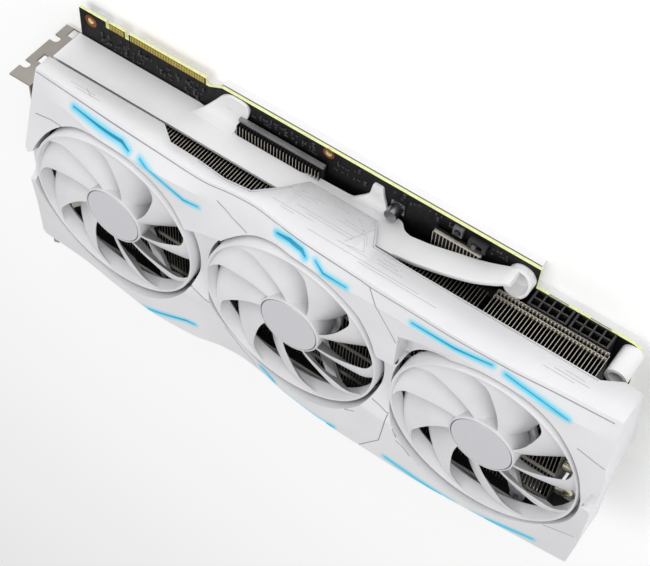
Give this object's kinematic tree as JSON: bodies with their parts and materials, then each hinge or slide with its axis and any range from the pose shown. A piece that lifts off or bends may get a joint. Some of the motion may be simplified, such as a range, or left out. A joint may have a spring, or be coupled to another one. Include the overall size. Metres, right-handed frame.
{
  "type": "graphics card",
  "caption": "Long white card on a circuit board with a faceted shroud, ringed axial fans that spin, a finned heatsink and a metal bracket, for driving computer displays",
  "frame": {"origin": "bottom centre of the card's box, lying on its backplate with the fans facing up", "axes": "+X from the metal bracket to the far end, +Y to the long edge with the power sockets, +Z the way the fans face"},
  "size_m": [0.315, 0.142, 0.0541],
  "materials": {
    "white_plastic": "satin white moulded plastic",
    "fan_plastic": "satin white moulded plastic",
    "white_metal": "satin white paint on sheet metal",
    "board_mask": "black solder mask over fibreglass",
    "contact_gold": "gold plate",
    "chip_black": "moulded black resin",
    "pad_soft": "soft grey thermal pad",
    "choke_grey": "pressed ferrite",
    "can_aluminium": "drawn aluminium can",
    "socket_black": "black nylon",
    "pin_brass": "tinned brass",
    "header_ivory": "ivory nylon",
    "bracket_steel": "satin nickel-plated steel",
    "port_steel": "bright plated steel",
    "screw_steel": "plated steel",
    "plate_nickel": "nickel-plated copper",
    "pipe_nickel": "nickel-plated copper tube",
    "fin_aluminium": "dark nickel-plated aluminium",
    "plate_aluminium": "die-cast aluminium",
    "light_cyan": "lit translucent diffuser",
    "lamp_board": "white lamp strip",
    "hub_disc": "circular-brushed disc",
    "winding_copper": "enamelled copper",
    "bearing_bronze": "sintered bronze",
    "magnet_grey": "bonded ferrite",
    "lead_black": "black cable jacket",
    "switch_white": "white nylon"
  },
  "bodies": {
    "card": {"backplate": "white_metal", "standoffs": "screw_steel", "backplate_screws": "screw_steel", "circuit_board": "board_mask", "edge_contacts": "contact_gold", "bridge_contacts": "contact_gold", "gpu_package": "chip_black", "memory_chips": "chip_black", "thermal_pads": "pad_soft", "power_stages": "chip_black", "chokes": "choke_grey", "capacitors": "can_aluminium", "power_socket_1": "socket_black", "power_socket_2": "socket_black", "power_pins": "pin_brass", "fan_headers": "header_ivory", "io_bracket": "bracket_steel", "bracket_screws": "screw_steel", "hdmi_ports": "port_steel", "display_ports": "port_steel", "usb_c_port": "port_steel", "gpu_clamp": "bracket_steel", "clamp_springs": "screw_steel", "clamp_screws": "screw_steel", "cold_plate": "plate_nickel", "heatpipes": "pipe_nickel", "fin_stack_left": "fin_aluminium", "fin_stack_right": "fin_aluminium", "midplate": "plate_aluminium", "vrm_heatsink": "fin_aluminium", "reinforcement_frame": "white_metal", "frame_screws": "screw_steel", "shroud": "white_plastic", "light_guide_top": "light_cyan", "light_guide_bottom": "light_cyan", "light_boards": "lamp_board", "corner_posts": "white_metal", "fan_1_mount": "white_plastic", "fan_2_mount": "white_plastic", "fan_3_mount": "white_plastic", "fan_stators": "winding_copper", "fan_bearings": "bearing_bronze", "fan_screws": "screw_steel", "fan_leads": "lead_black", "bios_switch_housing": "socket_black", "led_button_housing": "port_steel"},
    "fan_1": {"fan_1_impeller": "fan_plastic", "fan_1_badge": "hub_disc", "fan_1_shaft": "screw_steel", "fan_1_magnet": "magnet_grey"},
    "fan_2": {"fan_2_impeller": "fan_plastic", "fan_2_badge": "hub_disc", "fan_2_shaft": "screw_steel", "fan_2_magnet": "magnet_grey"},
    "fan_3": {"fan_3_impeller": "fan_plastic", "fan_3_badge": "hub_disc", "fan_3_shaft": "screw_steel", "fan_3_magnet": "magnet_grey"},
    "bios_switch": {"bios_switch_slider": "switch_white"},
    "led_button": {"led_button_cap": "chip_black"}
  },
  "joints": [
    {"name": "fan_1_spin", "type": "hinge", "parent": "card", "child": "fan_1", "pos_m": [-0.0943, 0.00225, 0.045], "axis": [0, 0, 1], "continuous": true},
    {"name": "fan_2_spin", "type": "hinge", "parent": "card", "child": "fan_2", "pos_m": [0.00516, 0.00225, 0.045], "axis": [0, 0, 1], "continuous": true},
    {"name": "fan_3_spin", "type": "hinge", "parent": "card", "child": "fan_3", "pos_m": [0.10462, 0.00225, 0.045], "axis": [0, 0, 1], "continuous": true},
    {"name": "bios_switch_slide", "type": "slide", "parent": "card", "child": "bios_switch", "axis": [1, 0, 0], "range_m": [0, 0.002]},
    {"name": "led_button_press", "type": "slide", "parent": "card", "child": "led_button", "axis": [0, 0, -1], "range_m": [0, 0.0004], "stiffness_N_per_m": 400, "springref_m": -0.0001}
  ]
}
